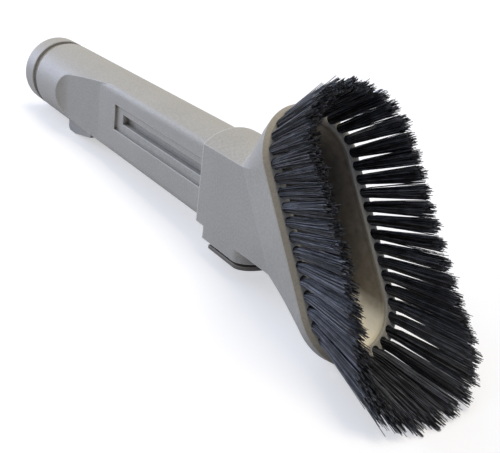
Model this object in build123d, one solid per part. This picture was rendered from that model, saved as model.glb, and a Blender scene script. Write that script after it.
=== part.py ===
from build123d import *
import os
from math import cos, pi, radians, sin, sqrt, tan

# Vacuum dusting brush: a nozzle tube that pushes onto a hose end, and a brush head
# that slides along the tube on two side tracks and is freed by a rocking button.
# X runs forward along the tube from the mouth of the hose socket, Z is up.
# All lengths are in millimetres and all angles in degrees.

# Nozzle tube
TUBE_RADIUS = 18.5
SOCKET_WALL = 2.5
SOCKET_DEPTH = 30.0
SOCKET_STEP = 0.9
END_RING_LENGTH = 11.5
GROOVE_WIDTH = 6.0
GROOVE_DEPTH = 1.5
END_RING_ROUNDING = 1.6
FLAT_HALF_WIDTH = 11.3
TUBE_WALL = 2.2
SCALLOP_REAR_X = 43.5
SCALLOP_RUN_OUT = 8.5
SCALLOP_RAMP = 28.0
SCALLOP_TURN_DROP = 3.6
CORNER_ROUNDING = 4.0

# Slide track in each flat: a shallow recess with a deeper slot along its middle
RECESS_BEYOND_RAMP = 16.5
RECESS_CENTRE_Z = 2.3
RECESS_HEIGHT = 12.0
RECESS_DEPTH = 1.3
SLOT_INSIDE_RECESS = 6.0
SLOT_CENTRE_Z = 2.6
SLOT_HEIGHT = 4.6
SLOT_DEPTH = 3.0
TRACK_WALL = 1.6
TRACK_END_GAP = 0.5

# Parking catch under the rear of the tube
CATCH_REAR_X = 39.0
CATCH_LENGTH = 27.0
CATCH_FLAT_LENGTH = 7.0
CATCH_HALF_WIDTH = 8.5
CATCH_DROP = 3.6
CATCH_CHAMFER = 1.6

# Brush head: collar, skirt and mouth
MOUTH_X = 233.4
MOUTH_Z = 4.3
MOUTH_TILT = 34.5
SKIRT_DEPTH = 22.4
HEAD_LENGTH = 59.6
COLLAR_WALL = 2.0
SLIDE_CLEARANCE = 0.3
BOWL_MIDDLE_INSET = 1.2
BOWL_MIDDLE_RISE = 3.6
BOWL_MIDDLE_DEPTH = 9.0
SKIRT_MIDDLE_DEPTH = 7.0
SKIRT_MIDDLE_INSET = 1.6
RIM_OUTER_BAND = 2.0
RIM_OUTER_MARGIN = 3.2
RIM_OUTER_LAND = 2.0
RIM_INNER_BAND = 2.4
RIM_INNER_MARGIN = 2.5
RIM_OUTER_ROUNDING = 0.5
RIM_INNER_ROUNDING = 0.7
TIP_BEHIND_MOUTH = 20.5

# Keys of the head that run in the tracks
KEY_SETBACK = 3.2
KEY_LENGTH = 7.0
KEY_CLEARANCE = 0.3

# Tufts: one row of bristle bundles around the mouth, trimmed to a flat plane
TUFT_COUNT = 43
TUFT_LINE_RADIUS = 16.9
TUFT_LINE_HALF_STRAIGHT = 24.1
TUFT_HOLE_RADIUS = 1.65
TUFT_HOLE_DEPTH = 4.0
TUFT_HOLE_CLEARANCE = 0.05
TUFT_SPREAD = 0.1
TUFT_TIP_RADIUS = 2.35
TRIM_HEIGHT = 23.5
TUFT_LEAN = 17.5
TUFT_FAN_TOP = 8.5
TUFT_FAN_LOW = 11.8
TUFT_SIDE_SPLAY = 3.6
TUFT_SIDE_SPLAY_LOW = 7.0
ANCHOR_LENGTH = 3.9
ANCHOR_HEIGHT = 1.5
ANCHOR_THICKNESS = 0.45

# Button housing under the collar
HOUSING_SETBACK = 5.2
HOUSING_STRAIGHT_LENGTH = 20.0
HOUSING_FRONT_LENGTH = 7.5
HOUSING_DROP = 2.3
HOUSING_REAR_WALL = 1.8
WINDOW_HALF_WIDTH = 9.2

# Rocking button with its ears, latch nose and rest stops
BUTTON_GAP = 1.5
BUTTON_THICKNESS = 1.7
BUTTON_REAR_SETBACK = 3.6
BUTTON_EDGE_INSET = 0.8
BUTTON_EDGE_ROUNDING = 0.5
EAR_THICKNESS = 2.0
EAR_WALL = 0.75
EAR_SIDE_CLEARANCE = 0.4
EAR_FRONT_CLEARANCE = 0.9
NOSE_BEHIND_WALL = 1.2
NOSE_LENGTH = 3.4
NOSE_WIDTH = 5.0
NOSE_ENGAGEMENT = 0.85
NOSE_CLEARANCE = 0.6
STOP_GAP = 0.2
STOP_INSET = 0.9
STOP_LENGTH = 3.0
STOP_WIDTH = 3.0

# Steel pin that the button rocks on
PIVOT_SETBACK = 14.0
PIN_RADIUS = 0.6
PIN_TUBE_CLEARANCE = 0.3
PIN_ENGAGEMENT = 2.4
PIN_RUNNING_CLEARANCE = 0.05
PIN_SEAT_CLEARANCE = 0.02
PIN_END_GAP = 0.3

# Compression spring between the button and its housing
SPRING_AHEAD_OF_PIVOT = 6.9
SPRING_RADIUS = 1.8
SPRING_WIRE = 0.4
SPRING_TURNS = 3
SPRING_SIDE_CLEARANCE = 0.5
SPRING_END_CLEARANCE = 0.05
SPRING_POCKET_DEPTH = 1.3
SPRING_SEAT_DEPTH = 0.7

# Shaping solids: how far a cutter runs past what it cuts, how far solids that are
# joined run into each other, and a size larger than the whole tool
CUT_PAST = 5.0
JOIN_DEPTH = 0.5
BEYOND = 400.0

# Values worked out from the driving dimensions
SOCKET_RADIUS = TUBE_RADIUS - SOCKET_WALL
SCALLOP_TURN_X = SCALLOP_REAR_X + SCALLOP_RUN_OUT
FLAT_START_X = SCALLOP_TURN_X + SCALLOP_RAMP
RECESS_REAR_X = FLAT_START_X + RECESS_BEYOND_RAMP
SLOT_REAR_X = RECESS_REAR_X + SLOT_INSIDE_RECESS
TUBE_FRONT_X = MOUTH_X + TUBE_RADIUS
COLLAR_REAR_X = MOUTH_X - HEAD_LENGTH
COLLAR_RADIUS = TUBE_RADIUS + SLIDE_CLEARANCE + COLLAR_WALL
COLLAR_HALF_WIDTH = FLAT_HALF_WIDTH + SLIDE_CLEARANCE + COLLAR_WALL
BORE_RADIUS = TUBE_RADIUS + SLIDE_CLEARANCE
BORE_HALF_WIDTH = FLAT_HALF_WIDTH + SLIDE_CLEARANCE
KEY_REAR_X = COLLAR_REAR_X + KEY_SETBACK
KEY_FRONT_X = KEY_REAR_X + KEY_LENGTH
TRACK_FRONT_X = KEY_FRONT_X + TRACK_END_GAP
TRAVEL = KEY_REAR_X - SLOT_REAR_X - TRACK_END_GAP
AIRWAY_HALF_WIDTH = FLAT_HALF_WIDTH - TUBE_WALL
HOUSING_REAR_X = COLLAR_REAR_X + HOUSING_SETBACK
HOUSING_ROUND_X = HOUSING_REAR_X + HOUSING_STRAIGHT_LENGTH
HOUSING_BOTTOM_Z = -TUBE_RADIUS - HOUSING_DROP
PIVOT_X = HOUSING_REAR_X + PIVOT_SETBACK
PIVOT_Z = -TUBE_RADIUS - PIN_TUBE_CLEARANCE - PIN_RADIUS
WINDOW_REAR_X = HOUSING_REAR_X + HOUSING_REAR_WALL
EAR_RADIUS = PIN_RADIUS + EAR_WALL
WINDOW_FRONT_X = PIVOT_X + EAR_RADIUS + EAR_FRONT_CLEARANCE
PIN_HALF_LENGTH = WINDOW_HALF_WIDTH + PIN_ENGAGEMENT
BUTTON_TOP_Z = HOUSING_BOTTOM_Z - BUTTON_GAP
BUTTON_BOTTOM_Z = BUTTON_TOP_Z - BUTTON_THICKNESS
BUTTON_HALF_WIDTH = COLLAR_HALF_WIDTH - BUTTON_EDGE_INSET
NOSE_REAR_X = WINDOW_REAR_X + NOSE_BEHIND_WALL
NOSE_FRONT_X = NOSE_REAR_X + NOSE_LENGTH
NOSE_TOP_Z = -TUBE_RADIUS + NOSE_ENGAGEMENT
CHANNEL_TOP_Z = NOSE_TOP_Z + SLIDE_CLEARANCE
CHANNEL_HALF_WIDTH = NOSE_WIDTH / 2 + NOSE_CLEARANCE
SPRING_X = PIVOT_X + SPRING_AHEAD_OF_PIVOT
SPRING_SEAT_RADIUS = SPRING_RADIUS + SPRING_WIRE / 2 + SPRING_SIDE_CLEARANCE
MOUTH = Plane(
    origin=(MOUTH_X, 0, MOUTH_Z),
    x_dir=(-sin(radians(MOUTH_TILT)), 0, cos(radians(MOUTH_TILT))),
    z_dir=(cos(radians(MOUTH_TILT)), 0, sin(radians(MOUTH_TILT))),
)
MOUTH_AXIS = Axis(MOUTH.origin, MOUTH.z_dir)


def block(x0, x1, y0, y1, z0, z1):
    """A box between two corners."""
    centre = Pos((x0 + x1) / 2, (y0 + y1) / 2, (z0 + z1) / 2)
    return centre * Box(x1 - x0, y1 - y0, z1 - z0)


def rod_x(radius, x0, x1):
    """A round bar along X."""
    return Pos((x0 + x1) / 2, 0, 0) * Rot(0, 90, 0) * Cylinder(radius, x1 - x0)


def rod_y(radius, x, z, y0, y1):
    """A round bar along Y."""
    return Pos(x, (y0 + y1) / 2, z) * Rot(90, 0, 0) * Cylinder(radius, y1 - y0)


def plan_prism(points, z0, z1):
    """A closed outline in plan, as tall as z0 to z1."""
    outline = make_face(Polyline(*points, close=True))
    return Pos(0, 0, z0) * extrude(outline, amount=z1 - z0)


def both_sides(solid):
    """A solid and its mirror image across the middle of the tube."""
    return [solid, mirror(solid, about=Plane.XZ)]


def in_front_of_mouth(distance):
    """A big block that covers all that lies in front of a plane parallel to the mouth."""
    return MOUTH * Pos(0, 0, distance + BEYOND / 2) * Box(BEYOND, BEYOND, BEYOND)


def side_cutter():
    """What is cut from one side of the round tube: a hollowed run-in and a long flat."""
    outside = TUBE_RADIUS + CUT_PAST
    turn_y = FLAT_HALF_WIDTH + SCALLOP_TURN_DROP
    edge = Line((TUBE_FRONT_X, -FLAT_HALF_WIDTH), (FLAT_START_X, -FLAT_HALF_WIDTH))
    ramp = Line((FLAT_START_X, -FLAT_HALF_WIDTH), (SCALLOP_TURN_X, -turn_y))
    run_out = TangentArc((SCALLOP_TURN_X, -turn_y), (SCALLOP_REAR_X, -TUBE_RADIUS), tangent=ramp % 1)
    back = Polyline(
        (SCALLOP_REAR_X, -TUBE_RADIUS),
        (SCALLOP_REAR_X, -outside),
        (TUBE_FRONT_X, -outside),
        (TUBE_FRONT_X, -FLAT_HALF_WIDTH),
    )
    outline = make_face([edge, ramp, run_out, back])
    return Pos(0, 0, -outside) * extrude(outline, amount=2 * outside)


def track_boxes(rear, front, centre_z, height, outer, inner):
    """One box in each flat, from a distance inside it outwards to another."""
    box = block(rear, front, -outer, -inner, centre_z - height / 2, centre_z + height / 2)
    return both_sides(box)


def parking_catch():
    """A ramped catch moulded under the rear of the tube."""
    seat_z = -sqrt(TUBE_RADIUS**2 - CATCH_HALF_WIDTH**2) + JOIN_DEPTH
    low_z = -TUBE_RADIUS - CATCH_DROP
    front_x = CATCH_REAR_X + CATCH_LENGTH
    outline = make_face(
        Polyline(
            (CATCH_REAR_X, seat_z),
            (CATCH_REAR_X, low_z + CATCH_CHAMFER),
            (CATCH_REAR_X + CATCH_CHAMFER, low_z),
            (CATCH_REAR_X + CATCH_CHAMFER + CATCH_FLAT_LENGTH, low_z),
            (front_x, -TUBE_RADIUS),
            (front_x, seat_z),
            close=True,
        )
    )
    placed = Plane.XZ * outline
    return extrude(placed, amount=CATCH_HALF_WIDTH, both=True)


def airway():
    """The air passage from the socket to the tip, narrowing to run between the flats."""
    start = SOCKET_DEPTH - JOIN_DEPTH
    step_radius = SOCKET_RADIUS - SOCKET_STEP
    round_passage = rod_x(step_radius, start, TUBE_FRONT_X)
    outline = [
        (start, step_radius),
        (FLAT_START_X, AIRWAY_HALF_WIDTH),
        (TUBE_FRONT_X, AIRWAY_HALF_WIDTH),
        (TUBE_FRONT_X, -AIRWAY_HALF_WIDTH),
        (FLAT_START_X, -AIRWAY_HALF_WIDTH),
        (start, -step_radius),
    ]
    return round_passage & plan_prism(outline, -TUBE_RADIUS, TUBE_RADIUS)


def make_nozzle_tube():
    """The long tube: socket, end ring, flats, tracks, latch channel and slanted tip."""
    tube = rod_x(TUBE_RADIUS, 0, TUBE_FRONT_X)
    tube -= both_sides(side_cutter())
    tube -= in_front_of_mouth(-TIP_BEHIND_MOUTH)
    corners = tube.edges().filter_by(Axis.X).sort_by(SortBy.LENGTH)[-4:]
    tube = fillet(corners, CORNER_ROUNDING)
    rear_edge = tube.edges().group_by(Axis.X)[0]
    tube = fillet(rear_edge, END_RING_ROUNDING)
    groove_floor = TUBE_RADIUS - GROOVE_DEPTH
    groove_end = END_RING_LENGTH + GROOVE_WIDTH
    ring_cutter = rod_x(TUBE_RADIUS + CUT_PAST, END_RING_LENGTH, groove_end)
    tube -= ring_cutter - rod_x(groove_floor, END_RING_LENGTH, groove_end)
    tube += parking_catch()

    recess_floor = FLAT_HALF_WIDTH - RECESS_DEPTH
    slot_floor = recess_floor - SLOT_DEPTH
    pocket_walls = track_boxes(
        SLOT_REAR_X - TRACK_WALL,
        TRACK_FRONT_X + TRACK_WALL,
        SLOT_CENTRE_Z,
        SLOT_HEIGHT + 2 * TRACK_WALL,
        FLAT_HALF_WIDTH,
        slot_floor - TRACK_WALL,
    )
    channel_rear = NOSE_REAR_X - TRAVEL - NOSE_CLEARANCE
    channel_front = NOSE_FRONT_X + NOSE_CLEARANCE
    channel_wall = block(
        channel_rear - TRACK_WALL,
        channel_front + TRACK_WALL,
        -CHANNEL_HALF_WIDTH - TRACK_WALL,
        CHANNEL_HALF_WIDTH + TRACK_WALL,
        -TUBE_RADIUS,
        CHANNEL_TOP_Z + TRACK_WALL,
    )
    tube -= airway() - pocket_walls - [channel_wall]
    tube -= rod_x(SOCKET_RADIUS, -CUT_PAST, SOCKET_DEPTH)

    outside = FLAT_HALF_WIDTH + CUT_PAST
    tube -= track_boxes(RECESS_REAR_X, TRACK_FRONT_X, RECESS_CENTRE_Z, RECESS_HEIGHT, outside, recess_floor)
    tube -= track_boxes(SLOT_REAR_X, TRACK_FRONT_X, SLOT_CENTRE_Z, SLOT_HEIGHT, outside, slot_floor)
    tube -= block(
        channel_rear,
        channel_front,
        -CHANNEL_HALF_WIDTH,
        CHANNEL_HALF_WIDTH,
        -TUBE_RADIUS - CUT_PAST,
        CHANNEL_TOP_Z,
    )
    return tube


def collar_section(radius, half_width, depth):
    """The flat-sided round outline, in a plane parallel to the mouth and behind it."""
    tilt = radians(MOUTH_TILT)
    origin_z = MOUTH_Z - depth * sin(tilt)
    corner_z = sqrt(radius**2 - half_width**2)
    top = (corner_z - origin_z) / cos(tilt)
    low = (-corner_z - origin_z) / cos(tilt)
    apex = (radius - origin_z) / cos(tilt)
    base = (-radius - origin_z) / cos(tilt)
    outline = [
        Line((low, -half_width), (top, -half_width)),
        ThreePointArc((top, -half_width), (apex, 0), (top, half_width)),
        Line((top, half_width), (low, half_width)),
        ThreePointArc((low, half_width), (base, 0), (low, -half_width)),
    ]
    return MOUTH * Pos(0, 0, -depth) * make_face(outline)


def mouth_stadium(half_straight, radius, depth, shift=0.0):
    """A long rounded outline parallel to the mouth, shifted along its length."""
    outline = [
        Line((shift - half_straight, -radius), (shift + half_straight, -radius)),
        ThreePointArc(
            (shift + half_straight, -radius),
            (shift + half_straight + radius, 0),
            (shift + half_straight, radius),
        ),
        Line((shift + half_straight, radius), (shift - half_straight, radius)),
        ThreePointArc(
            (shift - half_straight, radius),
            (shift - half_straight - radius, 0),
            (shift - half_straight, -radius),
        ),
    ]
    return MOUTH * Pos(0, 0, -depth) * make_face(outline)


def collar_prism(radius, half_width):
    """The collar's outline drawn back along the tube from the crease at the skirt."""
    section = collar_section(radius, half_width, SKIRT_DEPTH)
    return extrude(section, amount=HEAD_LENGTH, dir=(-1, 0, 0))


def skirt_outside():
    """The flaring skirt, from the collar's outline to the bevelled edge of the long rim."""
    rim_radius = TUFT_LINE_RADIUS + RIM_OUTER_MARGIN
    middle_radius = rim_radius - SKIRT_MIDDLE_INSET
    rim_edge = mouth_stadium(TUFT_LINE_HALF_STRAIGHT, rim_radius, RIM_OUTER_BAND)
    flare = loft(
        [
            collar_section(COLLAR_RADIUS, COLLAR_HALF_WIDTH, SKIRT_DEPTH),
            mouth_stadium(TUFT_LINE_HALF_STRAIGHT, middle_radius, SKIRT_MIDDLE_DEPTH),
            rim_edge,
        ],
        ruled=True,
    )
    land = mouth_stadium(TUFT_LINE_HALF_STRAIGHT, TUFT_LINE_RADIUS + RIM_OUTER_LAND, 0)
    bevel = loft([rim_edge, land], ruled=True)
    return flare + fillet(bevel.edges().group_by(MOUTH_AXIS)[-1], RIM_OUTER_ROUNDING)


def skirt_inside():
    """The bowl inside the skirt, from the collar's bore to the rim's inner edge."""
    rim_radius = TUFT_LINE_RADIUS - RIM_INNER_MARGIN
    middle_radius = rim_radius - BOWL_MIDDLE_INSET
    middle_half = TUFT_LINE_HALF_STRAIGHT - BOWL_MIDDLE_RISE
    flare = loft(
        [
            collar_section(BORE_RADIUS, BORE_HALF_WIDTH, SKIRT_DEPTH),
            mouth_stadium(middle_half, middle_radius, BOWL_MIDDLE_DEPTH, BOWL_MIDDLE_RISE / 2),
            mouth_stadium(TUFT_LINE_HALF_STRAIGHT, rim_radius, RIM_INNER_BAND),
        ]
    )
    edge = mouth_stadium(TUFT_LINE_HALF_STRAIGHT, rim_radius, RIM_INNER_BAND)
    return flare + extrude(edge, amount=RIM_INNER_BAND + CUT_PAST)


def tuft_bases():
    """Places of the tufts on the mouth, as (along, across) pairs from the lowest one round."""
    half = TUFT_LINE_HALF_STRAIGHT
    radius = TUFT_LINE_RADIUS
    quarter = pi * radius / 2
    perimeter = 4 * half + 4 * quarter
    places = []
    for index in range(TUFT_COUNT):
        run = index * perimeter / TUFT_COUNT
        if run <= quarter:
            angle = run / radius
            places.append((-half - radius * cos(angle), radius * sin(angle)))
        elif run <= quarter + 2 * half:
            places.append((run - quarter - half, radius))
        elif run <= 3 * quarter + 2 * half:
            angle = (run - quarter - 2 * half) / radius
            places.append((half + radius * sin(angle), radius * cos(angle)))
        elif run <= 3 * quarter + 4 * half:
            places.append((half - (run - 3 * quarter - 2 * half), -radius))
        else:
            angle = (run - 3 * quarter - 4 * half) / radius
            places.append((-half - radius * sin(angle), -radius * cos(angle)))
    return places


def tuft_slope(along, across):
    """How far a tuft leans along and across the mouth for each millimetre of height."""
    reach = along / (TUFT_LINE_HALF_STRAIGHT + TUFT_LINE_RADIUS)
    splay = TUFT_SIDE_SPLAY + (TUFT_SIDE_SPLAY_LOW * reach**2 if reach < 0 else 0)
    fan = TUFT_FAN_TOP if reach > 0 else TUFT_FAN_LOW
    lean = fan * reach / TRIM_HEIGHT - tan(radians(TUFT_LEAN))
    return lean, splay / TRIM_HEIGHT * across / TUFT_LINE_RADIUS


def tuft_seat(along, across):
    """The plane at the top of a tuft's hole, with X along the row and Z out of the mouth."""
    end = TUFT_LINE_HALF_STRAIGHT
    outward = Vector(along - max(-end, min(end, along)), across, 0)
    tangent = MOUTH.from_local_coords(Vector(-outward.Y, outward.X, 0)) - MOUTH.origin
    origin = MOUTH.from_local_coords(Vector(along, across, 0))
    return Plane(origin=origin, x_dir=tangent, z_dir=MOUTH.z_dir)


def anchor_at(seat, clearance=0.0):
    """The flat wire that a tuft is folded around, at the bottom of its hole."""
    height = ANCHOR_HEIGHT + 2 * clearance
    box = Box(ANCHOR_LENGTH + 2 * clearance, ANCHOR_THICKNESS + 2 * clearance, height)
    return seat * Pos(0, 0, -TUFT_HOLE_DEPTH + ANCHOR_HEIGHT / 2) * box


def make_tuft(along, across, rim_side, trim):
    """One bundle of bristles: a folded root in its hole and a leaning fan trimmed flat."""
    lean, splay = tuft_slope(along, across)
    seat = tuft_seat(along, across)
    ahead = MOUTH.from_local_coords(Vector(along + lean, across + splay, 1))
    fan_plane = Plane(origin=seat.origin, z_dir=ahead - seat.origin)
    length = TRIM_HEIGHT * sqrt(1 + lean**2 + splay**2) + 2 * CUT_PAST
    root_radius = TUFT_HOLE_RADIUS - TUFT_HOLE_CLEARANCE
    fan_radius = TUFT_HOLE_RADIUS + TUFT_SPREAD
    flare = (TUFT_TIP_RADIUS - fan_radius) / TRIM_HEIGHT
    low_radius = fan_radius - flare * CUT_PAST
    fan = Pos(0, 0, length / 2 - CUT_PAST) * Cone(low_radius, low_radius + flare * length, length)
    root_depth = TUFT_HOLE_DEPTH - TUFT_HOLE_CLEARANCE
    root = Pos(0, 0, -root_depth / 2) * Cylinder(root_radius, root_depth)
    tuft = (fan_plane * fan - rim_side - trim) + seat * root
    return tuft - anchor_at(seat, TUFT_HOLE_CLEARANCE)


def d_shaped_block(rear, half_width, front_length, z0, z1):
    """A block with straight sides and a bowed front, as the housing and its button have in plan."""
    straight = block(rear, HOUSING_ROUND_X, -half_width, half_width, z0, z1)
    bow = extrude(Ellipse(front_length, half_width), amount=z1 - z0)
    return straight + Pos(HOUSING_ROUND_X, 0, z0) * bow


def track_keys():
    """A pad and a key on each inner side of the collar, running in the tracks."""
    keys = []
    pad_inner = BORE_HALF_WIDTH - RECESS_DEPTH - SLIDE_CLEARANCE + KEY_CLEARANCE
    for height, centre_z, inner in (
        (RECESS_HEIGHT, RECESS_CENTRE_Z, pad_inner),
        (SLOT_HEIGHT, SLOT_CENTRE_Z, pad_inner - SLOT_DEPTH),
    ):
        narrowed = height - 2 * KEY_CLEARANCE
        outer = BORE_HALF_WIDTH + JOIN_DEPTH
        keys += track_boxes(KEY_REAR_X, KEY_FRONT_X, centre_z, narrowed, outer, inner)
    return keys


def make_brush_head(seats):
    """The one-piece head: collar, button housing, skirt and rim with its tuft holes."""
    behind = block(COLLAR_REAR_X - BEYOND, COLLAR_REAR_X, -BEYOND, BEYOND, -BEYOND, BEYOND)
    head = collar_prism(COLLAR_RADIUS, COLLAR_HALF_WIDTH) - behind
    head += d_shaped_block(
        HOUSING_REAR_X,
        COLLAR_HALF_WIDTH,
        HOUSING_FRONT_LENGTH,
        HOUSING_BOTTOM_Z,
        -TUBE_RADIUS / 2,
    )
    head += skirt_outside()
    head -= collar_prism(BORE_RADIUS, BORE_HALF_WIDTH)
    head -= skirt_inside()
    rim = head.faces().sort_by(MOUTH_AXIS)[-1]
    head = fillet(rim.inner_wires()[0].edges(), RIM_INNER_ROUNDING)
    head += track_keys()

    head -= block(
        WINDOW_REAR_X,
        WINDOW_FRONT_X,
        -WINDOW_HALF_WIDTH,
        WINDOW_HALF_WIDTH,
        HOUSING_BOTTOM_Z - CUT_PAST,
        -BORE_RADIUS / 2,
    )
    pin_hole_radius = PIN_RADIUS + PIN_SEAT_CLEARANCE
    head -= rod_y(pin_hole_radius, PIVOT_X, PIVOT_Z, -PIN_HALF_LENGTH, COLLAR_HALF_WIDTH + CUT_PAST)
    pocket_z = HOUSING_BOTTOM_Z + SPRING_POCKET_DEPTH / 2
    head -= Pos(SPRING_X, 0, pocket_z) * Cylinder(SPRING_SEAT_RADIUS, SPRING_POCKET_DEPTH)

    hole_height = TUFT_HOLE_DEPTH + CUT_PAST
    hole = Pos(0, 0, hole_height / 2 - TUFT_HOLE_DEPTH) * Cylinder(TUFT_HOLE_RADIUS, hole_height)
    head -= [seat * hole for seat in seats]
    head -= [anchor_at(seat) for seat in seats]
    return head


def make_release_button():
    """The rocking button: a press plate, two pivot ears, a latch nose and rest stops."""
    rear = HOUSING_REAR_X + BUTTON_REAR_SETBACK
    root_z = BUTTON_TOP_Z - JOIN_DEPTH
    plate = d_shaped_block(
        rear,
        BUTTON_HALF_WIDTH,
        HOUSING_FRONT_LENGTH - BUTTON_EDGE_INSET,
        BUTTON_BOTTOM_Z,
        BUTTON_TOP_Z,
    )
    plate = fillet(plate.edges().group_by(Axis.Z)[0], BUTTON_EDGE_ROUNDING)
    ear_outer = WINDOW_HALF_WIDTH - EAR_SIDE_CLEARANCE
    ear_inner = ear_outer - EAR_THICKNESS
    ear = block(PIVOT_X - EAR_RADIUS, PIVOT_X + EAR_RADIUS, ear_inner, ear_outer, root_z, PIVOT_Z)
    ear += rod_y(EAR_RADIUS, PIVOT_X, PIVOT_Z, ear_inner, ear_outer)
    button = plate + both_sides(ear)
    button += block(NOSE_REAR_X, NOSE_FRONT_X, -NOSE_WIDTH / 2, NOSE_WIDTH / 2, root_z, NOSE_TOP_Z)
    stop_rear = rear + STOP_INSET
    stop_outer = BUTTON_HALF_WIDTH - STOP_INSET
    stop = block(
        stop_rear,
        stop_rear + STOP_LENGTH,
        stop_outer - STOP_WIDTH,
        stop_outer,
        root_z,
        HOUSING_BOTTOM_Z - STOP_GAP,
    )
    button += both_sides(stop)
    pin_reach = ear_outer + CUT_PAST
    button -= rod_y(PIN_RADIUS + PIN_RUNNING_CLEARANCE, PIVOT_X, PIVOT_Z, -pin_reach, pin_reach)
    seat_z = BUTTON_TOP_Z - SPRING_SEAT_DEPTH / 2
    return button - Pos(SPRING_X, 0, seat_z) * Cylinder(SPRING_SEAT_RADIUS, SPRING_SEAT_DEPTH)


def make_pivot_pin():
    """The steel pin that the button rocks on."""
    return rod_y(PIN_RADIUS, PIVOT_X, PIVOT_Z, -PIN_HALF_LENGTH + PIN_END_GAP, PIN_HALF_LENGTH)


def make_button_spring():
    """The small coil spring that pushes the button's front down."""
    end_gap = SPRING_WIRE / 2 + SPRING_END_CLEARANCE
    low = BUTTON_TOP_Z - SPRING_SEAT_DEPTH + end_gap
    high = HOUSING_BOTTOM_Z + SPRING_POCKET_DEPTH - end_gap
    coil = Pos(SPRING_X, 0, low) * Helix((high - low) / SPRING_TURNS, high - low, SPRING_RADIUS)
    section = Plane(origin=coil @ 0, z_dir=coil % 0) * Circle(SPRING_WIRE / 2)
    return sweep(section, path=coil)


def write_nodes():
    """Build every piece and write one STEP file for each."""
    places = tuft_bases()
    seats = [tuft_seat(along, across) for along, across in places]
    rim_side = MOUTH * Pos(0, 0, -BEYOND / 2) * Box(BEYOND, BEYOND, BEYOND)
    trim = in_front_of_mouth(TRIM_HEIGHT)
    nodes = {
        "nozzle_tube": make_nozzle_tube(),
        "brush_head": make_brush_head(seats),
        "release_button": make_release_button(),
        "button_pivot_pin": make_pivot_pin(),
        "button_spring": make_button_spring(),
        "tuft_anchors": Compound(children=[anchor_at(seat) for seat in seats]),
    }
    for number, (along, across) in enumerate(places, start=1):
        nodes[f"tuft_{number:02d}"] = make_tuft(along, across, rim_side, trim)
    os.makedirs("parts", exist_ok=True)
    for name, shape in nodes.items():
        export_step(shape, f"parts/{name}.step")
    print("travel of the head", round(TRAVEL, 2), "mm")
    print("pieces written", len(nodes))


write_nodes()
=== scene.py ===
# %% [markdown]
# A vacuum dusting brush.
#
# This tool pushes onto the end of a vacuum hose. A long moulded tube carries a brush
# head that slides back along it, so the bare slanted tip of the tube can be used as a
# crevice nozzle. The solid model already holds every moulded piece at its real size.
# This lesson adds what a solid model lacks: the grained plastic, the drawn steel and
# about seven thousand separate bristles.

from math import cos, degrees, pi, radians, sin, tan

import bmesh
import bpy
from mathutils import Matrix, Vector


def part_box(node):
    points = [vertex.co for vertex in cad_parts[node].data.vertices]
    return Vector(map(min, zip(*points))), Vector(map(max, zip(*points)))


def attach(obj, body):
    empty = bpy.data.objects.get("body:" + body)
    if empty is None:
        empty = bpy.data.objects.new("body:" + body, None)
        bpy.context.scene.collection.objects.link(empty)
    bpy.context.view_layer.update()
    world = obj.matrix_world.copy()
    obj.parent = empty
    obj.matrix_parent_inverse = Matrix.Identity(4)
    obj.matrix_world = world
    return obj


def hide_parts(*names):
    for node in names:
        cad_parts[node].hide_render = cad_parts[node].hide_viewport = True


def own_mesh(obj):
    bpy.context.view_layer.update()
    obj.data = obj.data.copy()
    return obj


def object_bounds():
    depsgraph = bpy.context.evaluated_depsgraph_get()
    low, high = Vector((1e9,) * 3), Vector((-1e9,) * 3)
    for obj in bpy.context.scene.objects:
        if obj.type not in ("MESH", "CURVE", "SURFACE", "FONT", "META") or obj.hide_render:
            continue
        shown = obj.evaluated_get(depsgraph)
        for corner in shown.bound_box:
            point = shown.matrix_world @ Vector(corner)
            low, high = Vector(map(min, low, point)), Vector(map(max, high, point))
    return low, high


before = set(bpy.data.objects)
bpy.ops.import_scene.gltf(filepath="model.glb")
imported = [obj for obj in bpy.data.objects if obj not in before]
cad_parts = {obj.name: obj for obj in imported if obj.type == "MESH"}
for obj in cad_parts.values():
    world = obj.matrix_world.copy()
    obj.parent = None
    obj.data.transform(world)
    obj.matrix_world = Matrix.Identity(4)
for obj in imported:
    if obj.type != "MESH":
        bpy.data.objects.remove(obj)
cad_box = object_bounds()
MM = 0.001
print("pieces of the solid model:", len(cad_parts))

# %% [markdown]
# Colours are written as they look on screen. A renderer works with light, so one
# function turns a written colour into the amount of light that it stands for. Linear
# values could be typed in, but nobody can read a colour from those.


# %% Colours as light
def light_of(hex_colour, alpha=1.0):
    """The linear colour of a written sRGB hex colour."""
    channels = [int(hex_colour[place:place + 2], 16) / 255 for place in (1, 3, 5)]
    linear = [c / 12.92 if c <= 0.04045 else ((c + 0.055) / 1.055) ** 2.4 for c in channels]
    return (*linear, alpha)


print("a grey of #808080 returns", round(light_of("#808080")[0], 2), "of the light")

# %% [markdown]
# Materials and bristles are both made of nodes. One helper adds a node of any kind. A
# value that is another node's output is joined by a link, and a node given whole stands
# for its first output. Any other value is typed into the socket.


# %% One helper for nodes
def add_node(tree, kind, settings=None, **sockets):
    """A new node with its settings, and its sockets linked or filled in."""
    node = tree.nodes.new(kind)
    for name, value in (settings or {}).items():
        setattr(node, name, value)
    found = {socket.name.replace(" ", "_"): socket for socket in node.inputs}
    found.update({socket.identifier.replace(" ", "_"): socket for socket in node.inputs})
    for name, value in sockets.items():
        if isinstance(value, bpy.types.Node):
            value = value.outputs[0]
        if isinstance(value, bpy.types.NodeSocket):
            tree.links.new(value, found[name])
        else:
            found[name].default_value = value
    return node


print("helper for nodes:", add_node.__name__)

# %% [markdown]
# The photograph was taken from the brush's end, a little above it, with the tool lying
# on its underside. The camera is given the way a photographer would say it: where it
# stands, where it points, how it is turned about its own axis, and its lens.

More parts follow.
